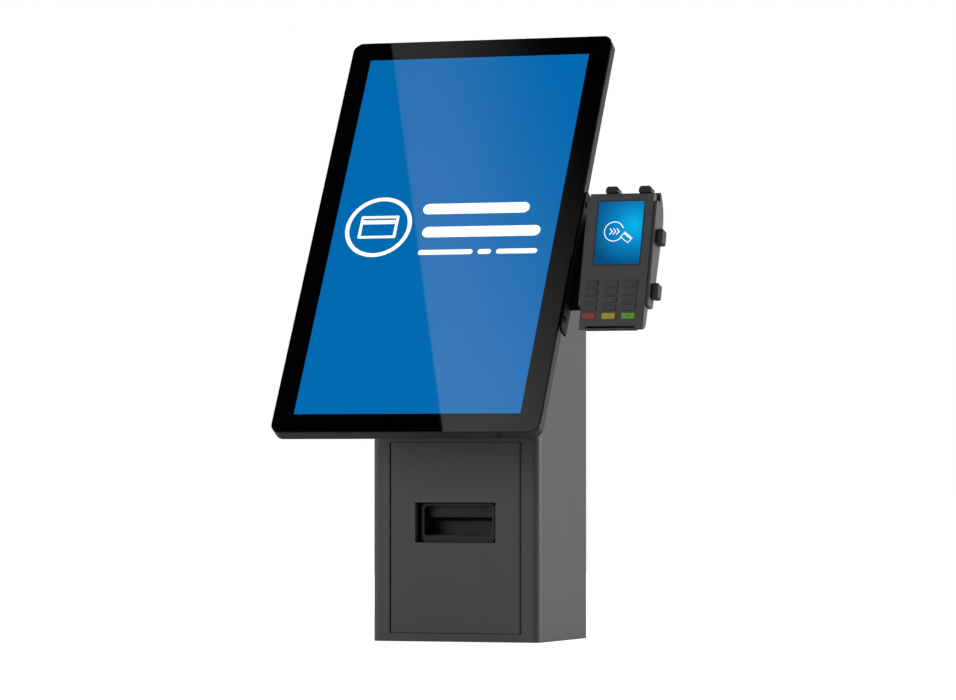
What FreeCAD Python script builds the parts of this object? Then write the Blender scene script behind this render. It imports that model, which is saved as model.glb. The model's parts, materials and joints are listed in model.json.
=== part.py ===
import FreeCAD, Part
import math
import os

V = FreeCAD.Vector
X = V(1, 0, 0)
Y = V(0, 1, 0)
Z = V(0, 0, 1)

# A countertop payment kiosk, in millimetres.  +X is the customer's right, +Y the back, +Z up.
# The origin is the centre of the pedestal's base, on the counter.

# Pedestal column, folded from sheet steel
column_width = 202.0
column_depth = 165.0
column_height = 547.0
sheet = 2.0
front_edge_radius = 9.0
base_thickness = 6.0
return_flange = 14.0
panel_clearance = 0.3
counter_bolt_spacing_x = 140.0
counter_bolt_spacing_y = 120.0
counter_bolt_radius = 3.3
cable_hole_radius = 20.0
cable_hole_y = 56.0
vent_count = 9
vent_length = 70.0
vent_width = 3.0
vent_pitch = 9.0
vent_low = 430.0
cable_exit_half = 14.0
rear_screw_radius = 1.5
screw_head_radius = 3.6
screw_head_height = 1.8
screw_socket_radius = 1.3
screw_socket_depth = 1.0
rear_screw_heights = (30.0, 180.0, 330.0, 500.0)

# Door in the column's front
door_side_margin = 22.0
door_low = 10.0
door_high = 226.0
door_gap = 0.7
door_return = 12.0
door_edge_radius = 3.0
door_pin_radius = 2.0
door_pin_inset = 4.5
running_clearance = 0.05
door_mouth_width = 97.0
door_mouth_low = 112.4
door_mouth_high = 158.0
door_mouth_return = 8.5
pin_engagement = 10.0
pin_end_gap = 0.4
bracket_gap = 2.0
hinge_leaf_width = 18.0
hinge_leaf_depth = 12.5
hinge_leaf_thickness = 3.0
hinge_leaf_height = 22.0

# Quarter-turn cam lock in the left wall
lock_radius = 9.5
lock_setback = 24.5
lock_height = 118.0
lock_nut_radius = 13.0
lock_nut_thickness = 4.0
keyway_half_length = 3.2
keyway_half_width = 0.6
keyway_depth = 1.4
lock_head_radius = 11.5
lock_head_thickness = 1.6
cam_thickness = 3.0
cam_width = 12.0
cam_reach = 18.0
cam_gap = 1.0
cam_stem_radius = 3.0
catch_thickness = 2.0
catch_height = 16.0
catch_foot = 12.0
catch_lip = 3.0

# Receipt printer
shelf_height = 40.0
shelf_skirt = 12.0
shelf_setback = 6.0
shelf_behind = 8.0
case_radius = 3.0
printer_half_width = 62.0
printer_front_setback = 20.5
printer_length = 118.0
printer_wall = 2.5
printer_split = 139.0
printer_lid_gap = 2.0
printer_lid_top = 172.0
ledge_height = 121.0
mouth_depth = 22.5
tear_edge_height = 136.0
fascia_width = 112.0
fascia_low = 104.0
fascia_high = 166.0
fascia_thickness = 2.0
ring_depth = 8.5
ring_width = 88.0
ring_low = 113.2
ring_high = 156.4
mouth_width = 82.0
mouth_low = 120.4
mouth_high = 154.2
mouth_radius = 4.0
platen_radius = 5.0
platen_length = 82.0
platen_shaft_radius = 2.5
platen_height = 143.0
platen_setback = 9.5
head_clearance = 0.3
roll_radius = 37.5
roll_length = 79.5
roll_spindle_radius = 6.2
roll_height = 88.0
roll_setback = 77.0
lid_pin_radius = 2.0
lid_pin_height = 140.0
lid_pin_setback = 7.0
lid_behind_pin = 1.0
lid_front_setback = 4.0
lug_radius = 4.5
lug_width = 5.0
lug_inset = 4.0
lug_stalk_height = 24.0
knuckle_radius = 4.0
cheek_thickness = 3.0
cheek_reach = 6.0
gear_radius = 4.5
gear_width = 4.0
head_height = 11.0
tooth_pitch = 2.0
tooth_height = 2.6
tooth_notch = 0.9
blade_thickness = 1.2
supply_half_width = 52.0
supply_front = -38.0
supply_back = 30.0
supply_headroom = 6.0
inlet_half_width = 14.0
inlet_depth = 10.0
inlet_low = 4.0
inlet_height = 18.0

# Display: 21.5 inch panel in portrait
active_width = 267.8
active_height = 476.1
bezel_side = 24.7
bezel_top = 25.0
bezel_bottom = 23.6
display_tilt = 29.73
display_overhang = 168.1
display_lift = 236.3
display_corner = 12.0
glass_thickness = 3.0
glass_edge = 0.8
frame_back = 16.0
frame_wall = 2.5
cover_inset = 15.0
cover_back = 45.0
cover_wall = 2.5
cover_edge_radius = 8.0
standoff_depth = 12.0
standoff_wall = 2.5
standoff_half_width = 45.0
standoff_flange = 17.0
standoff_low = 200.0
standoff_high = 385.0
vesa_spacing = 100.0
vesa_low = 212.0
vesa_screw_radius = 2.0
column_bolt_spacing_x = 50.0
column_bolt_heights = (262.0, 362.0)
column_bolt_radius = 3.0
power_button_x = 110.0
power_button_radius = 3.0
power_button_gap = 0.3
power_button_proud = 1.0
power_button_length = 5.0
power_button_flange = 0.8
power_flange_thickness = 1.1
lcd_margin = 6.0
frame_ledge = 26.0
cover_slot_rows = 7
cover_slot_pitch = 8.0
cover_slot_width = 3.0
cover_slot_inner = 35.0
cover_slot_outer = 105.0
cover_slot_drop = 60.0
computer_half_width = 100.0
computer_low = 90.0
computer_high = 420.0
computer_gap = 4.0
bolt_head_radius = 5.0
bolt_head_height = 4.0
bolt_nut_height = 5.0
display_screw_head = 2.6

# Side bracket, in the display's own frame: x, depth behind the glass, distance up the glass
bracket_sheet = 2.5
bracket_flange_low = 135.0
bracket_flange_high = 316.0
bracket_flange_front = 4.0
arm_low = 168.8
arm_high = 292.8
arm_front = 20.0
arm_reach = 92.0
arm_corner = 20.0
notch_radius = 5.0
arm_ear = 6.0
bracket_screw_radius = 2.0
flange_screw_heights = (150.0, 225.0, 300.0)
flange_screw_depth = 10.0
lock_screw_radius = 2.2
lock_screw_slot = 0.7
lock_screw_proud = 1.2
lock_screw_from_edge = 11.5
lock_screw_up = 189.5

# Tilt hinge
pivot_from_edge = 65.1
pivot_reach = 12.75
pivot_height = 221.4
hinge_pin_radius = 3.0
hinge_ear_radius = 7.0
hinge_ear_thickness = 4.0
hinge_half_width = 18.0
hinge_plate = 3.0
hinge_barrel_radius = 6.0
ear_gap = 0.4
hinge_screw_x = 12.0
hinge_screw_v = 19.0
hinge_plate_half_height = 25.0
leaf_half_height = 20.0
leaf_web_half_height = 4.0

# Card terminal, in its own frame: x, depth behind its face, distance up its face from the centre
terminal_tilt = 15.75
terminal_height = 160.4
face_half_width = 37.0
depth_bottom = 12.5
heel_rise = 11.0
depth_full = 25.5
full_depth_height = 47.0
depth_top = 11.0
shell_split = 8.0
shell_wall = 2.0
pivot_depth = 39.04
pivot_rise = 12.24
window_width = 53.0
window_height = 73.4
window_centre = 33.9
lens_border = 1.2
lens_thickness = 1.2
slot_width = 56.6
slot_centre = -0.3
slot_height = 2.4
slot_rise = 3.9
reader_back = 7.0
reader_wall = 1.0
board_half_width = 33.0
board_low = -58.0
board_high = 72.0
board_front = 4.6
board_thickness = 1.6
key_width = 15.4
key_height = 7.0
key_pitch_x = 22.8
key_pitch_y = 9.3
key_centre_x = -3.8
key_top_row = -24.6
colour_key_row = -62.3
key_gap = 0.3
key_proud = 0.8
key_length = 3.4
key_flange = 0.5
key_stop_gap = 0.2
key_corner = 1.2
key_edge = 0.4
front_edge = 2.0

# Grip tray that carries the terminal
tray_clearance = 0.5
tray_wall = 3.0
tray_low = -50.0
tray_high = 72.0
tray_front = 1.5
tray_top_front = 12.0
grip_height = 17.0
grip_proud = 8.0
grip_front = 7.0
grip_back = 21.5
grip_rows = (32.2, -30.6)
grip_edge = 1.8
top_grip_width = 14.5
top_grip_rise = 7.0
top_grip_front = 7.0
top_grip_depth = 12.0
top_grip_drop = 14.0
top_grip_edge = 3.5
top_grip_centre = 4.3
top_grip_pitch = 38.4

column_half = column_width / 2
front_y = -column_depth / 2
back_y = column_depth / 2
sin_tilt = math.sin(math.radians(display_tilt))
cos_tilt = math.cos(math.radians(display_tilt))
display_half = active_width / 2 + bezel_side
display_height = active_height + bezel_top + bezel_bottom
display_y = front_y - display_overhang
standoff_back = cover_back + standoff_depth
beyond = 400.0

os.makedirs("parts", exist_ok=True)


def box(x, y, z):
    return Part.makeBox(x[1] - x[0], y[1] - y[0], z[1] - z[0], V(x[0], y[0], z[0]))


def rod(radius, start, end):
    return Part.makeCylinder(radius, (end - start).Length, start, end - start)


def line_edges(shape, axis, test):
    picked = []
    for edge in shape.Edges:
        run = edge.Vertexes[-1].Point - edge.Vertexes[0].Point
        straight = edge.Curve.TypeId == "Part::GeomLine"
        if straight and run.normalize().cross(axis).Length < 1e-6 and test(edge.CenterOfMass):
            picked.append(edge)
    return picked


def rounded(shape, radius, axis, test=lambda point: True):
    return shape.makeFillet(radius, line_edges(shape, axis, test))


def rounded_box(x, y, z, radius, axis):
    return rounded(box(x, y, z), radius, axis)


def prism(points, x_low, x_high):
    corners = [V(x_low, y, z) for y, z in points]
    return Part.Face(Part.makePolygon(corners + corners[:1])).extrude(V(x_high - x_low, 0, 0))


def mirrored(shape):
    return shape.mirror(V(0, 0, 0), X)


def both_sides(shape):
    return [shape, mirrored(shape)]


def cut(shape, tools):
    return shape.cut(Part.makeCompound(list(tools)))


def save(node, shapes):
    solids = [solid for shape in shapes for solid in shape.Solids]
    whole = Part.makeCompound(solids) if len(solids) > 1 else solids[0]
    whole.exportStep("parts/" + node + ".step")


display_place = FreeCAD.Placement(V(0, display_y, display_lift), FreeCAD.Rotation(X, -display_tilt))


def on_display(shape):
    return shape.transformed(display_place.toMatrix(), copy=True)


def plane_height(depth, y):
    """Height of the plane that lies this deep behind the glass, where it crosses y."""
    along = (y - display_y - depth * cos_tilt) / sin_tilt
    return display_lift - depth * sin_tilt + along * cos_tilt


def plane_y(depth, z):
    along = (z - display_lift + depth * sin_tilt) / cos_tilt
    return display_y + depth * cos_tilt + along * sin_tilt


# Column

def column_blank(slope_depth, top):
    outline = [
        (front_y, 0),
        (back_y, 0),
        (back_y, top),
        (plane_y(slope_depth, top), top),
        (front_y, plane_height(slope_depth, front_y)),
    ]
    block = prism(outline, -column_half, column_half)
    return rounded(block, front_edge_radius, Z, lambda point: point.y < front_y + 0.01)


door_half = column_half - door_side_margin
inner_half = column_half - sheet
lock_y = front_y + lock_setback
base_half = inner_half
rear_flange_y = (back_y - 2 * sheet, back_y - sheet)


def column_bolts(radius, near, far):
    spots = [(x * column_bolt_spacing_x / 2, v) for x in (-1, 1) for v in column_bolt_heights]
    return [on_display(rod(radius, V(x, near, v), V(x, far, v))) for x, v in spots]


def rear_screw_spots():
    x = inner_half - return_flange / 2
    return [(side * x, z) for side in (-1, 1) for z in rear_screw_heights]


def column_shell():
    core = column_blank(standoff_back + sheet, column_height - sheet)
    inside = box((-inner_half, inner_half), (front_y + sheet, back_y + 1), (-1, column_height))
    inside = rounded(inside, front_edge_radius - sheet, Z, lambda point: point.y < 0)
    walls = core.cut(inside)
    flange = box((inner_half - return_flange, inner_half + 0.5), rear_flange_y,
                 (base_thickness, column_height - sheet))
    walls = walls.fuse(both_sides(flange)).removeSplitter()
    opening = door_half + door_gap
    holes = [
        box((-opening, opening), (front_y - 1, front_y + sheet + 1),
            (door_low - door_gap, door_high + door_gap)),
        rod(lock_radius, V(-column_half - 1, lock_y, lock_height), V(-inner_half + 1, lock_y, lock_height)),
    ]
    holes += [rod(rear_screw_radius, V(x, back_y - 3 * sheet, z), V(x, back_y, z))
              for x, z in rear_screw_spots()]
    return cut(walls, holes)


def column_top_cover():
    outer = column_blank(standoff_back, column_height)
    core = column_blank(standoff_back + sheet, column_height - sheet)
    bolts = column_bolts(column_bolt_radius, standoff_back - 1, standoff_back + 2 * sheet)
    return cut(outer.cut(core), bolts)


def base_plate():
    plate = box((-base_half, base_half), (front_y + sheet, back_y - sheet), (0, base_thickness))
    plate = rounded(plate, front_edge_radius - sheet, Z, lambda point: point.y < 0)
    spots = [(x, y) for x in (-1, 1) for y in (-1, 1)]
    holes = [rod(counter_bolt_radius,
                 V(x * counter_bolt_spacing_x / 2, y * counter_bolt_spacing_y / 2, -1),
                 V(x * counter_bolt_spacing_x / 2, y * counter_bolt_spacing_y / 2, base_thickness + 1))
             for x, y in spots]
    holes.append(rod(cable_hole_radius, V(0, cable_hole_y, -1), V(0, cable_hole_y, base_thickness + 1)))
    return cut(plate, holes)


def rear_panel():
    half = inner_half - panel_clearance
    panel = box((-half, half), (back_y - sheet, back_y), (0, column_height - sheet - panel_clearance))
    passage = rear_screw_radius + 0.5
    cuts = [rod(passage, V(x, back_y - 2 * sheet, z), V(x, back_y + 1, z)) for x, z in rear_screw_spots()]
    for row in range(vent_count):
        z = vent_low + row * vent_pitch
        slot = rounded_box((-vent_length / 2, vent_length / 2), (back_y - sheet - 1, back_y + 1),
                           (z, z + vent_width), vent_width / 2.01, Y)
        cuts.append(slot)
    cuts.append(rounded_box((-cable_exit_half, cable_exit_half), (back_y - sheet - 1, back_y + 1),
                            (-cable_exit_half, base_thickness + cable_exit_half), cable_exit_half / 2, Y))
    return cut(panel, cuts)


def rear_panel_screws():
    screws = []
    top = back_y + screw_head_height
    for x, z in rear_screw_spots():
        head = rod(screw_head_radius, V(x, back_y, z), V(x, top, z))
        shank = rod(rear_screw_radius, V(x, back_y - 3 * sheet, z), V(x, back_y, z))
        socket = rod(screw_socket_radius, V(x, top - screw_socket_depth, z), V(x, top + 1, z))
        screws.append(head.fuse(shank).cut(socket))
    return screws


# Door and lock

pin_x = door_half - door_pin_inset
pin_y = front_y + door_pin_inset
door_back = front_y + door_return
upper_leaf = door_high + bracket_gap


def door_panel():
    block = box((-door_half, door_half), (front_y, door_back), (door_low, door_high))
    block = rounded(block, door_edge_radius, Z, lambda point: point.y < front_y + 0.01)
    hollow = box((-door_half + sheet, door_half - sheet), (front_y + sheet, door_back + 1),
                 (door_low + sheet, door_high - sheet))
    hollow = rounded(hollow, door_edge_radius - sheet, Z, lambda point: point.y < front_y + sheet + 0.01)
    pan = block.cut(hollow)
    half = door_mouth_width / 2
    rim_back = front_y + door_mouth_return
    rim = box((-half - sheet, half + sheet), (front_y + 0.5, rim_back),
              (door_mouth_low - sheet, door_mouth_high + sheet))
    pan = pan.fuse(rim).removeSplitter()
    mouth = box((-half, half), (front_y - 1, rim_back + 1), (door_mouth_low, door_mouth_high))
    pins = [rod(door_pin_radius, V(pin_x, pin_y, door_low - 1), V(pin_x, pin_y, door_low + sheet + 1)),
            rod(door_pin_radius, V(pin_x, pin_y, door_high - sheet - 1), V(pin_x, pin_y, door_high + 1))]
    return cut(pan, [mouth] + pins)


def door_pivot_pins():
    lower = rod(door_pin_radius, V(pin_x, pin_y, base_thickness + pin_end_gap),
                V(pin_x, pin_y, door_low + pin_engagement))
    upper = rod(door_pin_radius, V(pin_x, pin_y, door_high - pin_engagement),
                V(pin_x, pin_y, upper_leaf + hinge_leaf_thickness - pin_end_gap))
    return [lower, upper]


def door_hinge_brackets():
    x = (pin_x - hinge_leaf_width / 2, pin_x + hinge_leaf_width / 2)
    y = (front_y + sheet, front_y + sheet + hinge_leaf_depth)
    lower = box(x, y, (base_thickness, door_low - door_gap - 0.5))
    leaf_top = upper_leaf + hinge_leaf_thickness
    upper = box(x, y, (upper_leaf, leaf_top))
    upright = box(x, (y[0], y[0] + sheet), (leaf_top - 0.5, leaf_top + hinge_leaf_height))
    hole = rod(door_pin_radius + running_clearance, V(pin_x, pin_y, 0), V(pin_x, pin_y, leaf_top - 0.1))
    upper = upper.fuse(upright).removeSplitter()
    upper = upper.cut(rod(door_pin_radius + running_clearance, V(pin_x, pin_y, upper_leaf - 1),
                          V(pin_x, pin_y, leaf_top)))
    return [lower.cut(hole), upper]


cam_x = (-door_half + sheet + cam_gap, -door_half + sheet + cam_gap + cam_thickness)
lock_barrel_end = cam_x[0] - cam_gap
catch_low = lock_height + cam_width / 2 + 2 * cam_gap
catch_x = cam_x[1] + 3 * cam_gap
catch_y = lock_y + cam_width / 2 + cam_gap


def door_catch():
    z = (catch_low, catch_low + catch_height)
    foot = box((catch_x, catch_x + catch_foot), (front_y + sheet, front_y + 2 * sheet), z)
    arm = box((catch_x, catch_x + catch_thickness), (front_y + sheet, catch_y + catch_lip), z)
    lip = box((cam_x[0] + 0.5, catch_x + 0.5), (catch_y, catch_y + catch_lip), z)
    return foot.fuse([arm, lip]).removeSplitter()


def lock_barrel():
    centre = V(-column_half, lock_y, lock_height)
    head = rod(lock_head_radius, centre - X * lock_head_thickness, centre)
    body = rod(lock_radius, centre, V(lock_barrel_end, lock_y, lock_height))
    head_top = -column_half - lock_head_thickness
    keyway = rounded_box((head_top - 1, head_top + keyway_depth),
                         (lock_y - keyway_half_length, lock_y + keyway_half_length),
                         (lock_height - keyway_half_width, lock_height + keyway_half_width), 0.5, X)
    nut = rod(lock_nut_radius, V(-inner_half, lock_y, lock_height),
              V(-inner_half + lock_nut_thickness, lock_y, lock_height))
    return head.fuse([body, nut]).removeSplitter().cut(keyway)


def lock_cam():
    tip = lock_y - cam_reach
    low = lock_height - cam_width / 2
    blade = box(cam_x, (tip, lock_y), (low, low + cam_width))
    blade = rounded(blade, 4.0, X, lambda point: point.y < tip + 0.01)
    hub = rod(cam_width / 2, V(cam_x[0], lock_y, lock_height), V(cam_x[1], lock_y, lock_height))
    stem = rod(cam_stem_radius, V(lock_barrel_end, lock_y, lock_height), V(cam_x[1] + 2, lock_y, lock_height))
    return blade.fuse([hub, stem]).removeSplitter()


# Receipt printer

printer_front = front_y + printer_front_setback
printer_back = printer_front + printer_length
ledge_back = printer_front + mouth_depth
pocket_half = printer_half_width - printer_wall
throat_half = mouth_width / 2 + 1
platen_y = ledge_back + platen_setback
roll_y = printer_front + roll_setback
lid_pin_y = printer_back - lid_pin_setback
lid_low = printer_split + printer_lid_gap
lid_front = printer_front + lid_front_setback
lid_back = lid_pin_y + lid_behind_pin
lid_half = printer_half_width - 2
lug_x = (pocket_half - lug_inset - lug_width, pocket_half - lug_inset)
knuckle_x = (lug_x[0] - 1 - lug_width, lug_x[0] - 1)


def printer_shelf():
    tray = box((-inner_half, inner_half), (printer_front + shelf_setback, printer_back + shelf_behind),
               (shelf_height - shelf_skirt, shelf_height))
    hollow = box((-inner_half + sheet, inner_half - sheet), (-beyond, beyond), (0, shelf_height - sheet))
    return tray.cut(hollow)


def printer_base():
    block = box((-printer_half_width, printer_half_width), (printer_front, printer_back),
                (shelf_height, printer_split))
    block = rounded(block, case_radius, Z)
    floor = shelf_height + case_radius
    bay = box((-pocket_half, pocket_half), (ledge_back + printer_wall, printer_back - printer_wall),
              (floor, beyond))
    throat = box((-throat_half, throat_half), (printer_front - 1, ledge_back), (ledge_height, beyond))
    under = box((-pocket_half, pocket_half), (printer_front + printer_wall, ledge_back),
                (shelf_height - 1, ledge_height - printer_wall))
    lip_cut = box((-throat_half, throat_half), (ledge_back - 1, ledge_back + printer_wall + 1),
                  (tear_edge_height, beyond))
    base = cut(block, [bay, throat, under, lip_cut])
    lug = rod(lug_radius, V(lug_x[0], lid_pin_y, lid_pin_height), V(lug_x[1], lid_pin_y, lid_pin_height))
    stalk = box(lug_x, (lid_pin_y - lug_radius, printer_back - printer_wall + 0.5),
                (lid_pin_height - lug_stalk_height, lid_pin_height))
    base = base.fuse(both_sides(lug) + both_sides(stalk)).removeSplitter()
    pin = rod(lid_pin_radius + running_clearance, V(-beyond, lid_pin_y, lid_pin_height),
              V(beyond, lid_pin_y, lid_pin_height))
    return base.cut(pin)


def printer_fascia():
    x = (-fascia_width / 2, fascia_width / 2)
    plate = rounded_box(x, (printer_front - fascia_thickness, printer_front), (fascia_low, fascia_high),
                        case_radius, Y)
    ring = rounded_box((-ring_width / 2, ring_width / 2),
                       (printer_front - fascia_thickness - ring_depth, printer_front - 0.5),
                       (ring_low, ring_high), mouth_radius + 1, Y)
    mouth = rounded_box((-mouth_width / 2, mouth_width / 2), (printer_front - beyond, printer_front + 1),
                        (mouth_low, mouth_high), mouth_radius, Y)
    return plate.fuse(ring).removeSplitter().cut(mouth)


def printer_lid():
    block = box((-lid_half, lid_half), (lid_front, lid_back), (lid_low, printer_lid_top))
    block = rounded(block, 4.0, X, lambda point: point.z > printer_lid_top - 0.01)
    hollow = box((-lid_half + printer_wall, lid_half - printer_wall),
                 (lid_front + printer_wall, lid_back - printer_wall),
                 (lid_low - 1, printer_lid_top - printer_wall))
    cheek_x = platen_length / 2 + 1.5
    cheek = box((cheek_x, cheek_x + cheek_thickness), (platen_y - cheek_reach, platen_y + cheek_reach),
                (platen_height - knuckle_radius, printer_lid_top - 1))
    clear = box((lug_x[0] - 0.5, lug_x[1] + 0.5), (lid_pin_y - 2 * knuckle_radius, beyond),
                (0, lid_pin_height + 2 * lug_radius))
    knuckle = rod(knuckle_radius, V(knuckle_x[0], lid_pin_y, lid_pin_height),
                  V(knuckle_x[1], lid_pin_y, lid_pin_height))
    link = box(knuckle_x, (lid_pin_y - knuckle_radius, lid_back), (lid_pin_height, printer_lid_top - 1))
    shell = cut(block, [hollow] + both_sides(clear))
    shell = shell.fuse(both_sides(cheek) + both_sides(knuckle) + both_sides(link)).removeSplitter()
    bores = [rod(platen_shaft_radius + running_clearance, V(-beyond, platen_y, platen_height),
                 V(beyond, platen_y, platen_height)),
             printer_lid_pin()]
    inside = box((-lid_half + printer_wall, lid_half - printer_wall), (-beyond, beyond), (0, beyond))
    return cut(shell, [bores[0].common(inside), bores[1]])


def printer_lid_pin():
    centre = V(0, lid_pin_y, lid_pin_height)
    return rod(lid_pin_radius, centre - X * lug_x[1], centre + X * lug_x[1])


def platen_roller():
    centre = V(0, platen_y, platen_height)
    sleeve = rod(platen_radius, centre - X * platen_length / 2, centre + X * platen_length / 2)
    reach = platen_length / 2 + 2 * cheek_thickness
    shaft = rod(platen_shaft_radius, centre - X * reach, centre + X * reach)
    gear_start = reach - 0.5
    gear = rod(gear_radius, centre + X * gear_start, centre + X * (gear_start + gear_width))
    return sleeve.fuse([shaft, gear]).removeSplitter()


def print_head():
    top = platen_height - platen_radius - head_clearance
    half = platen_length / 2 + 2
    return box((-half, half), (ledge_back + printer_wall, platen_y + platen_radius), (top - head_height, top))


def tear_bar():
    half = mouth_width / 2
    outline = [V(-half, ledge_back, tear_edge_height), V(half, ledge_back, tear_edge_height)]
    teeth = int(2 * half / tooth_pitch)
    for tooth in range(teeth, -1, -1):
        x = -half + tooth * tooth_pitch
        rise = tooth_height if tooth % 2 else tooth_height - tooth_notch
        outline.append(V(x, ledge_back, tear_edge_height + rise))
    return Part.Face(Part.makePolygon(outline + outline[:1])).extrude(Y * blade_thickness)


def paper_roll():
    centre = V(0, roll_y, roll_height)
    half = roll_length / 2
    roll = rod(roll_radius, centre - X * half, centre + X * half)
    return roll.cut(rod(roll_spindle_radius + running_clearance, centre - X * beyond, centre + X * beyond))


def paper_spindle():
    return rod(roll_spindle_radius, V(-pocket_half, roll_y, roll_height), V(pocket_half, roll_y, roll_height))


def power_supply():
    block = rounded_box((-supply_half_width, supply_half_width), (supply_front, supply_back),
                        (base_thickness, shelf_height - supply_headroom), case_radius, Z)
    inlet = box((-inlet_half_width, inlet_half_width), (supply_back - inlet_depth, supply_back + 1),
                (base_thickness + inlet_low, base_thickness + inlet_low + inlet_height))
    return block.cut(inlet)


# Display

cover_half = display_half - cover_inset
cover_top = display_height - cover_inset
vesa_spots = [(x * vesa_spacing / 2, vesa_low + v * vesa_spacing) for x in (-1, 1) for v in (0, 1)]


def display_glass():
    slab = rounded_box((-display_half, display_half), (0, glass_thickness), (0, display_height),
                       display_corner, Y)
    front = [edge for edge in slab.Edges if edge.BoundBox.YMax < 0.01]
    return slab.makeChamfer(glass_edge, front)


def lcd_panel():
    half = active_width / 2 + lcd_margin
    return rounded_box((-half, half), (glass_thickness, frame_back - frame_wall - 0.5),
                       (bezel_bottom - lcd_margin, bezel_bottom + active_height + lcd_margin),
                       case_radius, Y)


def display_frame():
    block = rounded_box((-display_half, display_half), (glass_thickness, frame_back), (0, display_height),
                        display_corner, Y)
    block = block.makeFillet(2.0, [edge for edge in block.Edges if edge.BoundBox.YMin > frame_back - 0.01])
    hollow = rounded_box((-display_half + frame_wall, display_half - frame_wall),
                         (glass_thickness - 1, frame_back - frame_wall),
                         (frame_wall, display_height - frame_wall), display_corner - frame_wall, Y)
    window = rounded_box((-display_half + frame_ledge, display_half - frame_ledge), (0, frame_back + 1),
                         (frame_ledge, display_height - frame_ledge), 6.0, Y)
    middle = (glass_thickness + frame_back) / 2
    button = rod(power_button_radius + power_button_gap, V(power_button_x, middle, -1),
                 V(power_button_x, middle, frame_wall + 1))
    frame = cut(block, [hollow, window, button])
    return cut(frame, bracket_screw_shanks())


def display_rear_cover():
    block = rounded_box((-cover_half, cover_half), (frame_back, cover_back), (cover_inset, cover_top),
                        display_corner, Y)
    block = block.makeFillet(cover_edge_radius,
                             [edge for edge in block.Edges if edge.BoundBox.YMin > cover_back - 0.01])
    hollow = rounded_box((-cover_half + cover_wall, cover_half - cover_wall),
                         (frame_back - 1, cover_back - cover_wall),
                         (cover_inset + cover_wall, cover_top - cover_wall), display_corner - cover_wall, Y)
    cuts = [hollow]
    for side in (-1, 1):
        for row in range(cover_slot_rows):
            v = cover_top - cover_slot_drop - row * cover_slot_pitch
            x = sorted((side * cover_slot_inner, side * cover_slot_outer))
            cuts.append(rounded_box(x, (cover_back - cover_wall - 1, cover_back + 1),
                                    (v, v + cover_slot_width), cover_slot_width / 2.01, Y))
    cuts += [rod(vesa_screw_radius, V(x, cover_back - 2 * cover_wall, v), V(x, cover_back + 1, v))
             for x, v in vesa_spots]
    return cut(block, cuts)


def display_computer():
    return rounded_box((-computer_half_width, computer_half_width),
                       (frame_back - frame_wall, cover_back - cover_wall - computer_gap),
                       (computer_low, computer_high), case_radius, Y)


def power_button():
    middle = (glass_thickness + frame_back) / 2
    tip = V(power_button_x, middle, -power_button_proud)
    end = tip + Z * power_button_length
    cap = rod(power_button_radius, tip, end)
    flange = rod(power_button_radius + power_button_flange, end - Z * power_flange_thickness, end)
    return cap.fuse(flange).removeSplitter()


def display_standoff():
    inner = standoff_half_width - standoff_wall
    block = box((-standoff_half_width, standoff_half_width), (cover_back, standoff_back),
                (standoff_low, standoff_high))
    channel = box((-inner, inner), (cover_back - 1, standoff_back - standoff_wall), (0, beyond * 2))
    flange = box((inner, standoff_half_width + standoff_flange), (cover_back, cover_back + standoff_wall),
                 (standoff_low, standoff_high - 40))
    flange = rounded(flange, 4.0, Y, lambda point: point.x > standoff_half_width)
    plate = block.cut(channel).fuse(both_sides(flange)).removeSplitter()
    holes = [rod(vesa_screw_radius, V(x, cover_back - 1, v), V(x, cover_back + standoff_wall + 1, v))
             for x, v in vesa_spots]
    plate = cut(plate, holes)
    return plate


def display_standoff_screws():
    screws = []
    face = cover_back + standoff_wall
    for x, v in vesa_spots:
        top = face + display_screw_head
        shank = rod(vesa_screw_radius, V(x, cover_back - 2 * cover_wall, v), V(x, face, v))
        head = rod(screw_head_radius, V(x, face, v), V(x, top, v))
        socket = rod(screw_socket_radius, V(x, top - screw_socket_depth, v), V(x, top + 1, v))
        screws.append(on_display(shank.fuse(head).cut(socket)))
    inner_face = standoff_back - standoff_wall
    outer_face = standoff_back + sheet
    shanks = column_bolts(column_bolt_radius, inner_face, outer_face)
    heads = column_bolts(bolt_head_radius, inner_face - bolt_head_height, inner_face)
    nuts = column_bolts(bolt_head_radius, outer_face, outer_face + bolt_nut_height)
    screws += [shank.fuse([head, nut]) for shank, head, nut in zip(shanks, heads, nuts)]
    return screws


# Side bracket and tilt hinge

flange_x = (display_half, display_half + bracket_sheet)
pivot_x = display_half + pivot_from_edge
pivot_t = arm_front - pivot_reach
arm_back = arm_front + bracket_sheet
hinge_screw_spots = [(pivot_x + x * hinge_screw_x, pivot_height + v * hinge_screw_v)
                     for x in (-1, 1) for v in (-1, 1)]


def bracket_screw_shanks():
    return [rod(bracket_screw_radius, V(display_half - frame_wall - 1, flange_screw_depth, v),
                V(flange_x[1], flange_screw_depth, v)) for v in flange_screw_heights]


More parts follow.
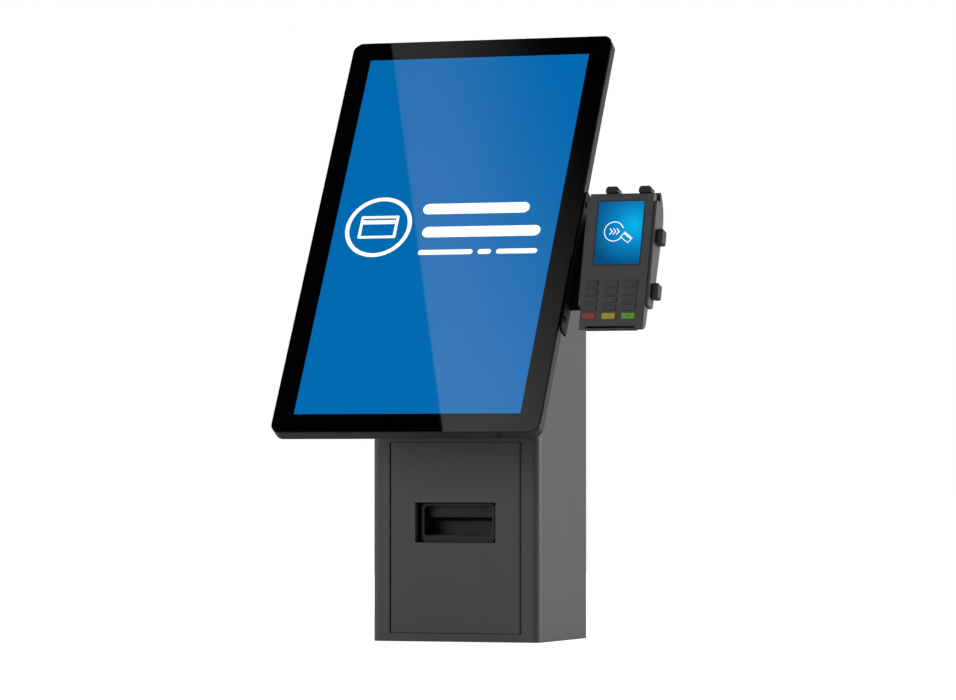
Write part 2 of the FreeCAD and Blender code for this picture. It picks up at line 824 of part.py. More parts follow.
def side_bracket():
    flange = box(flange_x, (bracket_flange_front, arm_back), (bracket_flange_low, bracket_flange_high))
    flange = rounded(flange, 5.0, X, lambda point: point.y < bracket_flange_front + 0.01)
    arm = box((flange_x[0], flange_x[0] + arm_reach), (arm_front, arm_back), (arm_low, arm_high))
    arm = rounded(arm, arm_corner, Y, lambda point: point.x > display_half + arm_reach - 0.01)
    ear = box((flange_x[0], flange_x[1] + arm_ear + notch_radius), (arm_front, arm_back),
              (arm_high - 0.5, arm_high + notch_radius))
    ear = ear.cut(rod(notch_radius, V(flange_x[1] + arm_ear, arm_front - 1, arm_high + notch_radius),
                      V(flange_x[1] + arm_ear, arm_back + 1, arm_high + notch_radius)))
    ear = ear.cut(box((flange_x[1] + arm_ear, beyond), (0, beyond), (arm_high, beyond)))
    plate = flange.fuse([arm, ear]).removeSplitter()
    plate = rounded(plate, bracket_sheet, Z,
                    lambda point: abs(point.x - flange_x[0]) < 0.01 and point.y > arm_back - 0.01)
    holes = bracket_screw_shanks()
    holes += [rod(bracket_screw_radius, V(x, arm_front - 1, v), V(x, arm_back + 1, v))
              for x, v in hinge_screw_spots]
    return cut(plate, holes)


def bracket_screws():
    screws = []
    for v, shank in zip(flange_screw_heights, bracket_screw_shanks()):
        top = flange_x[1] + screw_head_height
        head = rod(screw_head_radius, V(flange_x[1], flange_screw_depth, v), V(top, flange_screw_depth, v))
        socket = rod(screw_socket_radius, V(top - screw_socket_depth, flange_screw_depth, v),
                     V(top + 1, flange_screw_depth, v))
        screws.append(shank.fuse(head).cut(socket))
    for x, v in hinge_screw_spots:
        top = arm_back + screw_head_height
        shank = rod(bracket_screw_radius, V(x, arm_front - hinge_plate, v), V(x, arm_back, v))
        head = rod(screw_head_radius, V(x, arm_back, v), V(x, top, v))
        socket = rod(screw_socket_radius, V(x, top - screw_socket_depth, v), V(x, top + 1, v))
        screws.append(shank.fuse(head).cut(socket))
    return [on_display(screw) for screw in screws]


def bracket_lock_screw():
    x = display_half + lock_screw_from_edge
    top = arm_front - lock_screw_proud
    head = rod(lock_screw_radius, V(x, top, lock_screw_up), V(x, arm_front, lock_screw_up))
    slot = box((x - lock_screw_radius, x + lock_screw_radius), (top - 1, top + lock_screw_proud / 2),
               (lock_screw_up - lock_screw_slot / 2, lock_screw_up + lock_screw_slot / 2))
    return on_display(head.cut(slot))


def tilt_hinge_base():
    plate = rounded_box((pivot_x - hinge_half_width - 2, pivot_x + hinge_half_width + 2),
                        (arm_front - hinge_plate, arm_front),
                        (pivot_height - hinge_plate_half_height, pivot_height + hinge_plate_half_height),
                        case_radius, Y)
    ears = []
    for side in (-1, 1):
        inner = pivot_x + side * (hinge_half_width - hinge_ear_thickness)
        x = sorted((inner, inner + side * hinge_ear_thickness))
        web = box(x, (pivot_t, arm_front - 0.5),
                  (pivot_height - hinge_ear_radius, pivot_height + hinge_ear_radius))
        nose = rod(hinge_ear_radius, V(x[0], pivot_t, pivot_height), V(x[1], pivot_t, pivot_height))
        ears += [web, nose]
    clevis = plate.fuse(ears).removeSplitter()
    bore = rod(hinge_pin_radius, V(0, pivot_t, pivot_height), V(beyond, pivot_t, pivot_height))
    holes = [rod(bracket_screw_radius, V(x, 0, v), V(x, arm_front + 1, v)) for x, v in hinge_screw_spots]
    return on_display(cut(clevis, [bore] + holes))


def tilt_hinge_pin():
    reach = hinge_half_width + 2
    pin = rod(hinge_pin_radius, V(pivot_x - reach, pivot_t, pivot_height),
              V(pivot_x + reach, pivot_t, pivot_height))
    head = rod(hinge_pin_radius + 1.8, V(pivot_x + hinge_half_width, pivot_t, pivot_height),
               V(pivot_x + reach, pivot_t, pivot_height))
    return on_display(pin.fuse(head).removeSplitter())


# Card terminal

pivot = display_place.multVec(V(pivot_x, pivot_t, pivot_height))
terminal_turn = FreeCAD.Rotation(X, -terminal_tilt)
terminal_origin = pivot - terminal_turn.multVec(V(0, pivot_depth, pivot_rise))
terminal_place = FreeCAD.Placement(terminal_origin, terminal_turn)
half_height = terminal_height / 2
heel_height = heel_rise - half_height
back_slope = (depth_full - depth_bottom) / (full_depth_height - heel_height)


def on_terminal(shape):
    return shape.transformed(terminal_place.toMatrix(), copy=True)


def terminal_outline():
    """Side outline of the terminal: flat face, sloped back, and a crown arc tangent to the back."""
    crown = V(0, depth_full, full_depth_height)
    top = V(0, depth_top, half_height)
    along = V(0, back_slope, 1).normalize()
    inward = V(0, -along.z, along.y)
    chord = crown - top
    radius = chord.Length ** 2 / (-2 * chord.dot(inward))
    centre = crown + inward * radius
    middle = ((crown - centre) + (top - centre)).normalize() * radius + centre
    foot = V(0, 0, -half_height)
    heel = V(0, depth_bottom, heel_height)
    brow = V(0, 0, half_height)
    return Part.Wire([
        Part.makeLine(foot, brow),
        Part.makeLine(brow, top),
        Part.Arc(top, middle, crown).toShape(),
        Part.makeLine(crown, heel),
        Part.makeLine(heel, foot),
    ])


def terminal_blank(grow, x_low, x_high):
    outline = terminal_outline()
    if grow:
        outline = outline.makeOffset2D(grow, 2)
    return Part.Face(outline).translated(V(x_low, 0, 0)).extrude(V(x_high - x_low, 0, 0))


def back_depth(v):
    return depth_bottom + (v - heel_height) * back_slope


def key_column(column):
    return key_centre_x + (column - 1) * key_pitch_x


def key_layout():
    names = [["key_1", "key_2", "key_3"], ["key_4", "key_5", "key_6"], ["key_7", "key_8", "key_9"],
             ["key_left", "key_0", "key_right"]]
    keys = {}
    for row, labels in enumerate(names):
        for column, name in enumerate(labels):
            keys[name] = (key_column(column), key_top_row - row * key_pitch_y)
    for column, name in enumerate(["key_cancel", "key_clear", "key_enter"]):
        keys[name] = (key_column(column), colour_key_row)
    return keys


def terminal_body():
    body = terminal_blank(0, -face_half_width, face_half_width)
    rear_edges = []
    for edge in body.Edges:
        reach = edge.BoundBox
        if reach.XLength < 0.01 and edge.CenterOfMass.y > depth_top - 1 and reach.ZLength > 1:
            rear_edges.append(edge)
    body = body.makeFillet(case_radius, rear_edges)
    return rounded(body, front_edge, X, lambda point: point.y < 0.01)


slot_x = (slot_centre - slot_width / 2, slot_centre + slot_width / 2)
slot_v = (slot_rise - half_height, slot_rise + slot_height - half_height)


def window_span(border):
    return (window_centre - window_height / 2 - border, window_centre + window_height / 2 + border)


def terminal_front_housing():
    body = terminal_body()
    front = body.common(box((-beyond, beyond), (-1, shell_split), (-beyond, beyond)))
    inner = face_half_width - shell_wall
    hollow = box((-inner, inner), (shell_wall, shell_split + 1),
                 (-half_height + shell_wall, half_height - shell_wall))
    half = window_width / 2
    cuts = [
        hollow,
        rounded_box((-half - lens_border, half + lens_border), (-1, lens_thickness), window_span(lens_border),
                    case_radius, Y),
        box((-half, half), (-1, shell_wall + 1), window_span(0)),
        box(slot_x, (-1, shell_wall + 1), slot_v),
    ]
    for x, v in key_layout().values():
        hole_x = key_width / 2 + key_gap
        hole_v = key_height / 2 + key_gap
        cuts.append(rounded_box((x - hole_x, x + hole_x), (-1, shell_wall + 1), (v - hole_v, v + hole_v),
                                key_corner + key_gap, Y))
    return cut(front, cuts)


def terminal_rear_housing():
    body = terminal_body()
    rear = body.common(box((-beyond, beyond), (shell_split, beyond), (-beyond, beyond)))
    inner = face_half_width - shell_wall
    return rear.cut(terminal_blank(-shell_wall, -inner, inner))


def terminal_key(x, v):
    cap = box((x - key_width / 2, x + key_width / 2), (-key_proud, key_length - key_proud),
              (v - key_height / 2, v + key_height / 2))
    cap = rounded(cap, key_corner, Y)
    cap = cap.makeFillet(key_edge, [edge for edge in cap.Edges if edge.BoundBox.YMax < -key_proud + 0.01])
    start = shell_wall + key_stop_gap
    flange = box((x - key_width / 2 - key_flange, x + key_width / 2 + key_flange),
                 (start, key_length - key_proud),
                 (v - key_height / 2 - key_flange, v + key_height / 2 + key_flange))
    return cap.fuse(flange).removeSplitter()


def terminal_window():
    half = window_width / 2 + lens_border - 0.1
    return rounded_box((-half, half), (0, lens_thickness), window_span(lens_border - 0.1), 2.9, Y)


def terminal_lcd():
    half = window_width / 2 - 0.2
    return box((-half, half), (lens_thickness + 0.1, 4.0), window_span(-0.2))


def terminal_board():
    return rounded_box((-board_half_width, board_half_width), (board_front, board_front + board_thickness),
                       (board_low, board_high), case_radius, Y)


def card_reader():
    case = box((slot_x[0] - reader_wall, slot_x[1] + reader_wall), (shell_wall, reader_back),
               (slot_v[0] - reader_wall, slot_v[1] + 3 * reader_wall))
    return case.cut(box(slot_x, (0, reader_back - reader_wall), slot_v))


# Grip tray and hinge leaf

tray_half = face_half_width + tray_clearance + tray_wall


def grip_tray():
    outer = terminal_blank(tray_clearance + tray_wall, -tray_half, tray_half)
    inner = terminal_blank(tray_clearance, tray_wall - tray_half, tray_half - tray_wall)
    keep = box((-beyond, beyond), (tray_front, beyond), (tray_low, tray_high))
    top = box((-beyond, beyond), (tray_top_front, beyond), (tray_high - 1, beyond))
    outer = outer.common(keep.fuse(top).removeSplitter())
    outer = rounded(outer, case_radius, X, lambda point: point.z < tray_low + 0.01)
    outer = rounded(outer, case_radius, X, lambda point: point.y < tray_front + 0.01 and point.z > 0)
    return outer.cut(inner)


def grip_block(x, t, v):
    block = box(x, t, v)
    return block.makeFillet(grip_edge, block.Edges)


def side_grips():
    half = grip_height / 2
    return [grip_block((tray_half, tray_half + grip_proud), (grip_front, grip_back), (centre - half, centre + half))
            for centre in grip_rows]


def top_grips():
    base = half_height + tray_clearance + tray_wall
    tray = terminal_blank(tray_clearance + tray_wall, -tray_half, tray_half)
    grips = []
    for side in (-1, 1):
        x = top_grip_centre + side * top_grip_pitch / 2
        block = box((x - top_grip_width / 2, x + top_grip_width / 2),
                    (top_grip_front, top_grip_front + top_grip_depth),
                    (base - top_grip_drop, base + top_grip_rise))
        block = rounded(block, top_grip_edge, Y, lambda point: point.z > base)
        grips.append(block.cut(tray))
    return grips


def tilt_hinge_leaf():
    bottom = pivot_rise - leaf_half_height
    top = pivot_rise + leaf_half_height
    grow = (tray_clearance + tray_wall) * math.sqrt(1 + back_slope ** 2)
    inner = [(back_depth(v) + grow, v) for v in (bottom, top)]
    outline = inner + [(t + hinge_plate, v) for t, v in reversed(inner)]
    half = hinge_half_width - hinge_ear_thickness - ear_gap
    middle = pivot_x - terminal_origin.x
    plate = prism(outline, middle - half, middle + half)
    web = box((middle - half, middle + half), (back_depth(pivot_rise) + grow + 1, pivot_depth),
                              (pivot_rise - leaf_web_half_height, pivot_rise + leaf_web_half_height))
    barrel = rod(hinge_barrel_radius, V(middle - half, pivot_depth, pivot_rise),
                 V(middle + half, pivot_depth, pivot_rise))
    bore = rod(hinge_pin_radius + running_clearance, V(-beyond, pivot_depth, pivot_rise),
               V(beyond, pivot_depth, pivot_rise))
    return plate.fuse([web, barrel]).removeSplitter().cut(bore)


save("base_plate", [base_plate()])
save("column_shell", [column_shell()])
save("column_top_cover", [column_top_cover()])
save("rear_panel", [rear_panel()])
save("rear_panel_screws", rear_panel_screws())
save("door_panel", [door_panel()])
save("door_pivot_pins", door_pivot_pins())
save("door_hinge_brackets", door_hinge_brackets())
save("door_catch", [door_catch()])
save("lock_barrel", [lock_barrel()])
save("lock_cam", [lock_cam()])
save("printer_shelf", [printer_shelf()])
save("printer_base", [printer_base()])
save("printer_fascia", [printer_fascia()])
save("printer_lid", [printer_lid()])
save("printer_lid_pin", [printer_lid_pin()])
save("platen_roller", [platen_roller()])
save("print_head", [print_head()])
save("tear_bar", [tear_bar()])
save("paper_roll", [paper_roll()])
save("paper_spindle", [paper_spindle()])
save("power_supply", [power_supply()])

save("display_glass", [on_display(display_glass())])
save("lcd_panel", [on_display(lcd_panel())])
save("display_frame", [on_display(display_frame())])
save("display_rear_cover", [on_display(display_rear_cover())])
save("display_computer", [on_display(display_computer())])
save("power_button", [on_display(power_button())])
save("display_standoff", [cut(on_display(display_standoff()),
                              column_bolts(column_bolt_radius, standoff_back - 4, standoff_back + 1))])
save("display_standoff_screws", display_standoff_screws())
save("side_bracket", [on_display(side_bracket())])
save("bracket_screws", bracket_screws())
save("bracket_lock_screw", [bracket_lock_screw()])
save("tilt_hinge_base", [tilt_hinge_base()])
save("tilt_hinge_pin", [tilt_hinge_pin()])

save("tilt_hinge_leaf", [on_terminal(tilt_hinge_leaf())])
save("grip_tray", [on_terminal(grip_tray())])
save("right_grips", [on_terminal(grip) for grip in side_grips()])
save("top_grips", [on_terminal(grip) for grip in top_grips()])
save("terminal_front_housing", [on_terminal(terminal_front_housing())])
save("terminal_rear_housing", [on_terminal(terminal_rear_housing())])
save("terminal_window", [on_terminal(terminal_window())])
save("terminal_lcd", [on_terminal(terminal_lcd())])
save("terminal_board", [on_terminal(terminal_board())])
save("card_reader", [on_terminal(card_reader())])
for key_name, (key_x, key_v) in key_layout().items():
    save(key_name, [on_terminal(terminal_key(key_x, key_v))])
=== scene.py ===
import json
import math

import bmesh
import bpy
from mathutils import Matrix, Vector


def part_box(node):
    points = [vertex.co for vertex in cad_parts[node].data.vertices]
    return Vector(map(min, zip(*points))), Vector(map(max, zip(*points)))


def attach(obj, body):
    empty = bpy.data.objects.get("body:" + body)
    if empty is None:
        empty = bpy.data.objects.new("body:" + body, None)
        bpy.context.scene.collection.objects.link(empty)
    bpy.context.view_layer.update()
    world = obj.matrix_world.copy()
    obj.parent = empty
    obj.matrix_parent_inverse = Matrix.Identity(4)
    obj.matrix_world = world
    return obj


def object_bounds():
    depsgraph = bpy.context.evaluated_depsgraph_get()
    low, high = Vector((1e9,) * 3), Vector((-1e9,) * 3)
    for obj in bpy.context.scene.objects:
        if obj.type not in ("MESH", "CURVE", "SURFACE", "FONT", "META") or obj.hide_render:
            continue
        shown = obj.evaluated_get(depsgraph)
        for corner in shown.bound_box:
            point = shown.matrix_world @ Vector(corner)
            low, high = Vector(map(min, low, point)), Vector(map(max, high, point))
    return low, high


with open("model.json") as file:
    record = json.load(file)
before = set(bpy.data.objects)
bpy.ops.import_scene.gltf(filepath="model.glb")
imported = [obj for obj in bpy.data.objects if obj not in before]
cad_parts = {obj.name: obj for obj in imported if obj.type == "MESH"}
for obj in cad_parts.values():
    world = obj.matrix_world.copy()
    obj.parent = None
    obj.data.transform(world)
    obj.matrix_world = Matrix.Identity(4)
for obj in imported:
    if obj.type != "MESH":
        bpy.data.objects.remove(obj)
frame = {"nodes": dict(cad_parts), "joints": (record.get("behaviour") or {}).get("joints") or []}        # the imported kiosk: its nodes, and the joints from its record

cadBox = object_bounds()
nodes = frame["nodes"]
joints = {joint["name"]: joint for joint in frame["joints"]}
mm = 0.001

# The display leans back, and so does the card terminal: their own axes come from the keys they carry.
across = Vector((1, 0, 0))
displayUp = Vector(joints["power_press"]["axis"])
displayIn = Vector((0, displayUp.z, -displayUp.y))
terminalIn = Vector(joints["key_0_press"]["axis"])
terminalUp = Vector((0, -terminalIn.z, terminalIn.y))


def spanAlong(node, direction):
    reach = [vertex.co.dot(direction) for vertex in nodes[node].data.vertices]
    return min(reach), max(reach)


def faceFrame(node, inward, up):
    # local x across, y up the face, z out of it; the origin is the middle of the node's front
    sideways = spanAlong(node, across)
    upward = spanAlong(node, up)
    front = spanAlong(node, inward)[0]
    middle = across * (sum(sideways) / 2) + up * (sum(upward) / 2) + inward * front
    matrix = Matrix((across, up, -inward)).transposed().to_4x4()
    matrix.translation = middle
    return matrix


displayFace = faceFrame("display_glass", displayIn, displayUp)
windowFace = faceFrame("terminal_window", terminalIn, terminalUp)

print("1 materials")


def fromHex(code):
    parts = [int(code[place:place + 2], 16) / 255 for place in (1, 3, 5)]
    linear = [part / 12.92 if part <= 0.04045 else ((part + 0.055) / 1.055) ** 2.4 for part in parts]
    return (*linear, 1)


def addNode(material, kind, settings=None, links=None):
    node = material.node_tree.nodes.new(kind)
    for name, value in (settings or {}).items():
        if isinstance(name, str) and hasattr(node, name):
            setattr(node, name, value)
        else:
            node.inputs[name].default_value = value
    for socket, source in (links or {}).items():
        material.node_tree.links.new(source, node.inputs[socket])
    return node


def newMaterial(name, look):
    material = bpy.data.materials.new(name)
    material.use_nodes = True
    shader = material.node_tree.nodes["Principled BSDF"]
    for socket, value in look.items():
        shader.inputs[socket].default_value = value
    return material, shader


def wire(material, shader, links):
    for socket, source in links.items():
        material.node_tree.links.new(source, shader.inputs[socket])


def lumps(size):
    # the noise scale whose lumps are about this many millimetres across: at scale 1 they are about 0.6 m
    return 0.6 / (size * mm)


# Noise mostly stays between low and high, and a roughness wanders this far to each side of its own value.
noiseRange = {"low": 0.3, "high": 0.7}
coatWander = 0.06
metalWander = 0.08


def coated(name, coat):
    # sprayed and baked or moulded skins: a broad tone drift, a fine grain and the grain's own relief;
    # a skin with no shine of its own keeps the shader's usual 0.5
    material, shader = newMaterial(name, {"IOR": coat["ior"], "Specular IOR Level": coat.get("shine", 0.5)})
    place = addNode(material, "ShaderNodeTexCoord").outputs["Object"]
    fine = addNode(material, "ShaderNodeTexNoise", {"Scale": lumps(coat["grain"])}, {"Vector": place})
    broad = addNode(material, "ShaderNodeTexNoise", {"Scale": lumps(coat["drift"]), "Detail": 3.0},
                    {"Vector": place})
    colour = addNode(material, "ShaderNodeMix",
                     {"data_type": "RGBA", 6: fromHex(coat["dark"]), 7: fromHex(coat["light"])},
                     {0: broad.outputs["Fac"]})
    rough = addNode(material, "ShaderNodeMapRange",
                    {"From Min": noiseRange["low"], "From Max": noiseRange["high"],
                     "To Min": coat["roughness"] - coatWander, "To Max": coat["roughness"] + coatWander},
                    {"Value": fine.outputs["Fac"]})
    relief = addNode(material, "ShaderNodeBump", {"Distance": coat["relief"] * mm, "Strength": coat["strength"]},
                     {"Height": fine.outputs["Fac"]})
    wire(material, shader, {"Base Color": colour.outputs[2], "Roughness": rough.outputs[0],
                            "Normal": relief.outputs[0]})
    return material


# Powder-coated sheet steel, baked charcoal polyester: even, semi-matt, with a fine orange peel.
# Its real peel is about 0.5 mm and is drawn at 1.1 mm so that it shows.
steelCoat = {"ior": 1.5, "grain": 1.1, "drift": 60, "dark": "#48484A", "light": "#4D4D4F", "roughness": 0.52,
             "relief": 0.05, "strength": 0.5}
charcoalPowderCoat = coated("powderCoatedSteelCharcoal", steelCoat)

# Powder-coated brackets, baked matt black, with little shine. On the side bracket and the card reader the black is
# also painted shade: it stands in for the terminal's shadow on the bracket and the shade inside the card slot.
# The peel is finer than on the column, and is drawn at 0.9 mm.
blackCoatAndPaintedShade = {"ior": 1.5, "grain": 0.9, "drift": 40, "dark": "#131314", "light": "#19191A", "roughness": 0.6,
             "relief": 0.04, "strength": 0.5, "shine": 0.12}
blackPowderCoatAndPaintedShade = coated("powderCoatedSteelBlackAndPaintedShade", blackCoatAndPaintedShade)

# The moulded skins below have a mould texture of 0.1 to 0.3 mm, drawn at 0.6 to 0.9 mm so that it shows.

# Moulded ABS of the printer, spark-eroded mould texture: deep black with a soft sheen.
printerAbs = coated("mouldedAbsBlack", {"ior": 1.53, "grain": 0.8, "drift": 30, "dark": "#1A1A1B", "shine": 0.3,
                                        "light": "#202021", "roughness": 0.5, "relief": 0.03, "strength": 0.4})

# Moulded ABS of the display casing, satin: black, finer texture.
displayAbs = coated("mouldedAbsSatin", {"ior": 1.53, "grain": 0.7, "drift": 50, "dark": "#131314",
                                        "light": "#18181A", "roughness": 0.38, "relief": 0.02, "strength": 0.4})

# Moulded polycarbonate blend of the card terminal: dark grey, eggshell texture.
terminalPlastic = coated("mouldedPolycarbonateGrey", {"ior": 1.58, "grain": 0.6, "drift": 25, "dark": "#424243",
                                                      "light": "#474748", "roughness": 0.5, "relief": 0.02,
                                                      "strength": 0.5})

# Moulded nylon of the grip tray: grey, slightly glossier than the terminal.
trayNylon = coated("mouldedNylonGrey", {"ior": 1.53, "grain": 0.8, "drift": 25, "dark": "#424244",
                                        "light": "#48484A", "roughness": 0.46, "relief": 0.03, "strength": 0.5})

# Moulded rubber of the grips: dull, dark, with a soft fine tooth.
gripRubber = coated("mouldedRubberDark", {"ior": 1.52, "grain": 0.9, "drift": 12, "dark": "#2B2B2C",
                                          "light": "#323233", "roughness": 0.68, "relief": 0.05, "strength": 0.6})

# Ground nitrile rubber of the platen: dead matt, with grinding marks of 0.1 mm drawn at 0.5 mm.
platenRubber = coated("groundNitrileRubber", {"ior": 1.52, "grain": 0.5, "drift": 10, "dark": "#1B1B1C",
                                              "light": "#242425", "roughness": 0.75, "relief": 0.04,
                                              "strength": 0.7})

# Moulded keys: matt grey silicone-coated ABS, and three clear-coated colours. Their 0.1 mm texture is drawn
# at 0.5 mm.
keyLooks = {
    "grey": ("mouldedKeyGrey", "#414142", "#454546"),
    "red": ("mouldedKeyRed", "#A83A34", "#B2423B"),
    "yellow": ("mouldedKeyYellow", "#BCAB26", "#C6B52E"),
    "green": ("mouldedKeyGreen", "#6FB52C", "#78BF33"),
}
keyPlastic = {}
for tone, (name, dark, light) in keyLooks.items():
    keyPlastic[tone] = coated(name, {"ior": 1.5, "grain": 0.5, "drift": 6, "dark": dark, "light": light,
                                     "roughness": 0.4, "relief": 0.01, "strength": 0.4})

# Solder-resist board: green epoxy over glass cloth, with a faint mottle the size of its 1.5 mm strands.
solderResist = coated("solderResistGreen", {"ior": 1.55, "grain": 1.5, "drift": 8, "dark": "#12441F",
                                            "light": "#1A5528", "roughness": 0.3, "relief": 0.02, "strength": 0.5})

# Thermal paper, wound: warm white, with the edges of the turns showing on its ends.
# A turn is really 0.06 mm thick and is drawn nearly 2 mm thick so that it shows.
paper = {"turn": 1.9635, "waver": 0.4, "dark": "#DAD8D2", "light": "#F0EEE9", "roughness": 0.8, "ior": 1.45}
paperRoll, paperShader = newMaterial("thermalPaperWound", {"Roughness": paper["roughness"], "IOR": paper["ior"]})
paperPlace = addNode(paperRoll, "ShaderNodeTexCoord")
rollMiddle = sum(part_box("paper_roll"), Vector()) / 2
ringScale = math.pi / 10 / (paper["turn"] * mm)    # a wave texture's rings are a tenth of pi apart at scale 1
rollCentre = addNode(paperRoll, "ShaderNodeVectorMath", {"operation": "SUBTRACT", 1: rollMiddle},
                     {0: paperPlace.outputs["Object"]})
paperTurns = addNode(paperRoll, "ShaderNodeTexWave",
                     {"wave_type": "RINGS", "rings_direction": "X", "Scale": ringScale,
                      "Distortion": paper["waver"]},
                     {"Vector": rollCentre.outputs[0]})
paperTone = addNode(paperRoll, "ShaderNodeMix",
                    {"data_type": "RGBA", 6: fromHex(paper["dark"]), 7: fromHex(paper["light"])},
                    {0: paperTurns.outputs["Fac"]})
wire(paperRoll, paperShader, {"Base Color": paperTone.outputs[2]})


def metalSurface(name, metal):
    # bright metal: the grain is stretched along x like a drawn or turned surface
    material, shader = newMaterial(name, {"Metallic": 1.0})
    place = addNode(material, "ShaderNodeTexCoord").outputs["Object"]
    stretched = addNode(material, "ShaderNodeMapping", {"Scale": (metal["stretch"], 1, 1)}, {"Vector": place})
    lines = addNode(material, "ShaderNodeTexNoise", {"Scale": lumps(metal["grain"]), "Detail": 3.0},
                    {"Vector": stretched.outputs[0]})
    colour = addNode(material, "ShaderNodeMix",
                     {"data_type": "RGBA", 6: fromHex(metal["dark"]), 7: fromHex(metal["light"])},
                     {0: lines.outputs["Fac"]})
    rough = addNode(material, "ShaderNodeMapRange",
                    {"From Min": noiseRange["low"], "From Max": noiseRange["high"],
                     "To Min": metal["roughness"] - metalWander, "To Max": metal["roughness"] + metalWander},
                    {"Value": lines.outputs["Fac"]})
    relief = addNode(material, "ShaderNodeBump", {"Distance": metal["relief"] * mm, "Strength": metal["strength"]},
                     {"Height": lines.outputs["Fac"]})
    wire(material, shader, {"Base Color": colour.outputs[2], "Roughness": rough.outputs[0],
                            "Normal": relief.outputs[0]})
    return material


# The metals' drawn or turned lines are really about 0.05 mm apart, and are drawn at 0.3 to 0.4 mm.

# Zinc-plated steel of screws and pins, passivated: a mid grey with a soft, blurred shine.
zincPlate = metalSurface("zincPlatedSteel", {"dark": "#7C7D80", "light": "#919295", "roughness": 0.5,
                                             "grain": 0.4, "stretch": 0.3, "relief": 0.01, "strength": 0.4})

# Machined aluminium under the print head's ceramic strip: paler, with clear lines along it.
machinedAluminium = metalSurface("machinedAluminium", {"dark": "#9C9EA1", "light": "#AFB1B4", "roughness": 0.35,
                                                       "grain": 0.3, "stretch": 0.1, "relief": 0.01,
                                                       "strength": 0.4})


def alongAxis(material, place, axis, origin):
    # distance in metres along one axis of a face, from its origin
    moved = addNode(material, "ShaderNodeVectorMath", {"operation": "SUBTRACT", 1: origin}, {0: place})
    return addNode(material, "ShaderNodeVectorMath", {"operation": "DOT_PRODUCT", 1: axis},
                   {0: moved.outputs["Vector"]}).outputs["Value"]


def insideBox(material, sideways, upward, half, soft):
    # 1 inside a rectangle about the face's origin, 0 outside, with a thin soft edge
    edges = []
    for value, reach in ((sideways, half[0]), (upward, half[1])):
        size = addNode(material, "ShaderNodeMath", {"operation": "ABSOLUTE"}, {0: value})
        edges.append(addNode(material, "ShaderNodeMapRange",
                             {"From Min": reach - soft, "From Max": reach, "To Min": 1.0, "To Max": 0.0},
                             {"Value": size.outputs[0]}))
    return addNode(material, "ShaderNodeMath", {"operation": "MULTIPLY"},
                   {0: edges[0].outputs[0], 1: edges[1].outputs[0]}).outputs[0]


# Cover glass over the large screen: black printed border, lit panel behind a polished face.
# The printed ink clouds slightly every 3 mm or so.
screen = {"lift": -0.7, "width": 267.8, "height": 476.1, "edge": 0.25, "lit": "#0069AF", "litLow": "#006BB1",
          "border": "#020203", "borderLight": "#040405", "ink": 3.0, "roughness": 0.02, "ior": 1.5,
          "brightness": 1.0}


def screenGlass():
    material, shader = newMaterial("polishedCoverGlass", {"Roughness": screen["roughness"], "IOR": screen["ior"],
                                                          "Emission Strength": screen["brightness"]})
    place = addNode(material, "ShaderNodeTexCoord").outputs["Object"]
    middle = displayFace @ Vector((0, screen["lift"] * mm, 0))
    sideways = alongAxis(material, place, across, middle)
    upward = alongAxis(material, place, displayUp, middle)
    half = (screen["width"] * mm / 2, screen["height"] * mm / 2)
    lit = insideBox(material, sideways, upward, half, screen["edge"] * mm)
    fade = addNode(material, "ShaderNodeMapRange", {"From Min": -half[1], "From Max": half[1]}, {"Value": upward})
    picture = addNode(material, "ShaderNodeMix",
                      {"data_type": "RGBA", 6: fromHex(screen["litLow"]), 7: fromHex(screen["lit"])},
                      {0: fade.outputs[0]})
    glow = addNode(material, "ShaderNodeMix", {"data_type": "RGBA", 6: (0, 0, 0, 1)},
                   {0: lit, 7: picture.outputs[2]})
    ink = addNode(material, "ShaderNodeTexNoise", {"Scale": lumps(screen["ink"])}, {"Vector": place})
    border = addNode(material, "ShaderNodeMix",
                     {"data_type": "RGBA", 6: fromHex(screen["border"]), 7: fromHex(screen["borderLight"])},
                     {0: ink.outputs["Fac"]})
    wire(material, shader, {"Base Color": border.outputs[2], "Emission Color": glow.outputs[2]})
    return material


# Lens over the small screen, moulded acrylic: a lit picture that brightens to the upper right, and a grey
# printed edge that clouds every 2 mm or so. The swirl is 22 mm across, and the glow is pushed within a 12 mm span.
window = {"width": 53.0, "height": 73.4, "edge": 0.3, "glowX": 17.0, "glowY": 9.0, "reach": 52.0,
          "swirl": 22.0, "push": 12.0, "middleAt": 0.42, "bright": "#01B4EC", "middle": "#0283C4",
          "dark": "#004A7C", "borderDark": "#3A3A3B", "border": "#3E3E3F", "ink": 2.0, "roughness": 0.08,
          "ior": 1.49, "shine": 0.2, "brightness": 1.0}


